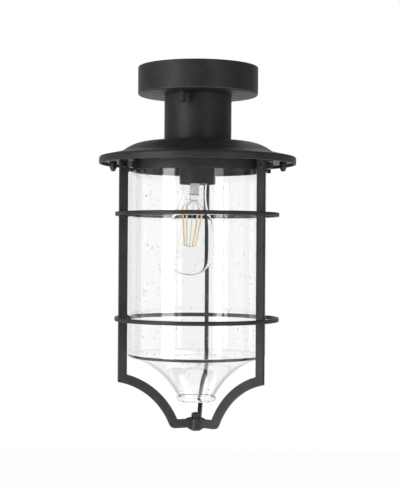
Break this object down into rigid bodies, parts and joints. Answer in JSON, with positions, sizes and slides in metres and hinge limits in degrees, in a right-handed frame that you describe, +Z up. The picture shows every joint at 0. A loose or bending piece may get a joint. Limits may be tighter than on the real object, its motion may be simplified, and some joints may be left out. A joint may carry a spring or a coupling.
{
  "type": "porch ceiling lantern",
  "caption": "Ceiling lantern with round canopy, short neck, wide spun cap, blade-legged cage with hoops, and a bell-bottomed seeded glass round a clear filament lamp.",
  "frame": {"origin": "centre of the mounting bracket on the ceiling plane", "axes": "+Z up into the ceiling along the fixture axis; +X to the right and -Y to the viewer as pictured"},
  "size_m": [0.1966, 0.1966, 0.3625],
  "materials": {
    "zinc": "bright zinc plate",
    "ground_green": "green plated",
    "black_coat": "fine-textured matte powder coat",
    "black_nylon": "moulded nylon",
    "porcelain": "glazed white porcelain",
    "brass": "plain brass",
    "seeded_glass": "clear glass with small bubbles",
    "silicone": "grey silicone",
    "sponge": "closed-cell sponge",
    "lamp_metal": "rolled nickel-plated shell",
    "lamp_insulator": "black vitreous insulator",
    "lamp_glass": "clear blown glass",
    "filament": "amber phosphor coating",
    "lamp_wire": "drawn nickel wire"
  },
  "bodies": {
    "fixture": {"mounting_bracket": "zinc", "canopy_studs": "zinc", "stud_locknuts": "zinc", "ground_screw": "ground_green", "canopy": "black_coat", "neck_tube": "black_coat", "threaded_rod": "zinc", "rod_nuts": "zinc", "rod_washers": "zinc", "wire_bushing": "black_nylon", "cap": "black_coat", "cap_bosses": "zinc", "socket_cup": "black_coat", "holder_strap": "zinc", "holder_screws": "zinc", "lampholder": "porcelain", "screw_shell": "brass", "centre_contact": "brass", "terminal_screws": "brass"},
    "cage": {"cage_plate": "black_coat", "collar": "black_coat", "leg_left": "black_coat", "leg_right": "black_coat", "leg_back": "black_coat", "leg_feet": "black_coat", "leg_rivets": "black_coat", "leg_screws": "zinc", "leg_washers": "zinc", "leg_nuts": "black_coat", "ring_upper": "black_coat", "ring_lower": "black_coat", "hub_boss": "black_coat", "hub_bolt": "black_coat", "glass_shade": "seeded_glass", "glass_gasket": "silicone", "glass_cushion": "sponge"},
    "lamp": {"lamp_shell": "lamp_metal", "lamp_insulator": "lamp_insulator", "lamp_tip": "lamp_metal", "lamp_envelope": "lamp_glass", "lamp_stem": "lamp_glass", "lamp_filaments": "filament", "lamp_wires": "lamp_wire"},
    "canopy_washer_front": {"canopy_washer_front": "zinc"},
    "canopy_nut_front": {"canopy_nut_front": "black_coat"},
    "canopy_washer_rear": {"canopy_washer_rear": "zinc"},
    "canopy_nut_rear": {"canopy_nut_rear": "black_coat"},
    "cap_washer_left": {"cap_washer_left": "zinc"},
    "cap_screw_left": {"cap_screw_left": "black_coat"},
    "cap_washer_right": {"cap_washer_right": "zinc"},
    "cap_screw_right": {"cap_screw_right": "black_coat"}
  },
  "joints": [
    {"name": "cage_drop", "type": "slide", "parent": "fixture", "child": "cage", "axis": [0, 0, -1], "range_m": [0, 0.13]},
    {"name": "lamp_out", "type": "slide", "parent": "fixture", "child": "lamp", "axis": [-0.0802, 0, -0.9968], "range_m": [0, 0.026]},
    {"name": "canopy_washer_front_travel", "type": "slide", "parent": "fixture", "child": "canopy_washer_front", "axis": [0, 0, -1], "range_m": [0, 0.0064]},
    {"name": "canopy_nut_front_turn", "type": "hinge", "parent": "canopy_washer_front", "child": "canopy_nut_front", "pos_m": [-0.01498, -0.04185, -0.0288], "axis": [0, 0, -1], "range_deg": [0, 2880]},
    {"name": "canopy_washer_rear_travel", "type": "slide", "parent": "fixture", "child": "canopy_washer_rear", "axis": [0, 0, -1], "range_m": [0, 0.0064]},
    {"name": "canopy_nut_rear_turn", "type": "hinge", "parent": "canopy_washer_rear", "child": "canopy_nut_rear", "pos_m": [0.01498, 0.04185, -0.0288], "axis": [0, 0, -1], "range_deg": [0, 2880]},
    {"name": "cap_washer_left_travel", "type": "slide", "parent": "cage", "child": "cap_washer_left", "axis": [0, 0, -1], "range_m": [0, 0.0042]},
    {"name": "cap_screw_left_turn", "type": "hinge", "parent": "cap_washer_left", "child": "cap_screw_left", "pos_m": [-0.08497, 0.00743, -0.095], "axis": [0, 0, -1], "range_deg": [0, 2160]},
    {"name": "cap_washer_right_travel", "type": "slide", "parent": "cage", "child": "cap_washer_right", "axis": [0, 0, -1], "range_m": [0, 0.0042]},
    {"name": "cap_screw_right_turn", "type": "hinge", "parent": "cap_washer_right", "child": "cap_screw_right", "pos_m": [0.08497, -0.00743, -0.095], "axis": [0, 0, -1], "range_deg": [0, 2160]}
  ],
  "couplings": [
    {"joint": "canopy_nut_front_turn", "follows": "canopy_washer_front_travel", "rad_per_m": 7854},
    {"joint": "canopy_nut_rear_turn", "follows": "canopy_washer_rear_travel", "rad_per_m": 7854},
    {"joint": "cap_screw_left_turn", "follows": "cap_washer_left_travel", "rad_per_m": 8976},
    {"joint": "cap_screw_right_turn", "follows": "cap_washer_right_travel", "rad_per_m": 8976}
  ]
}
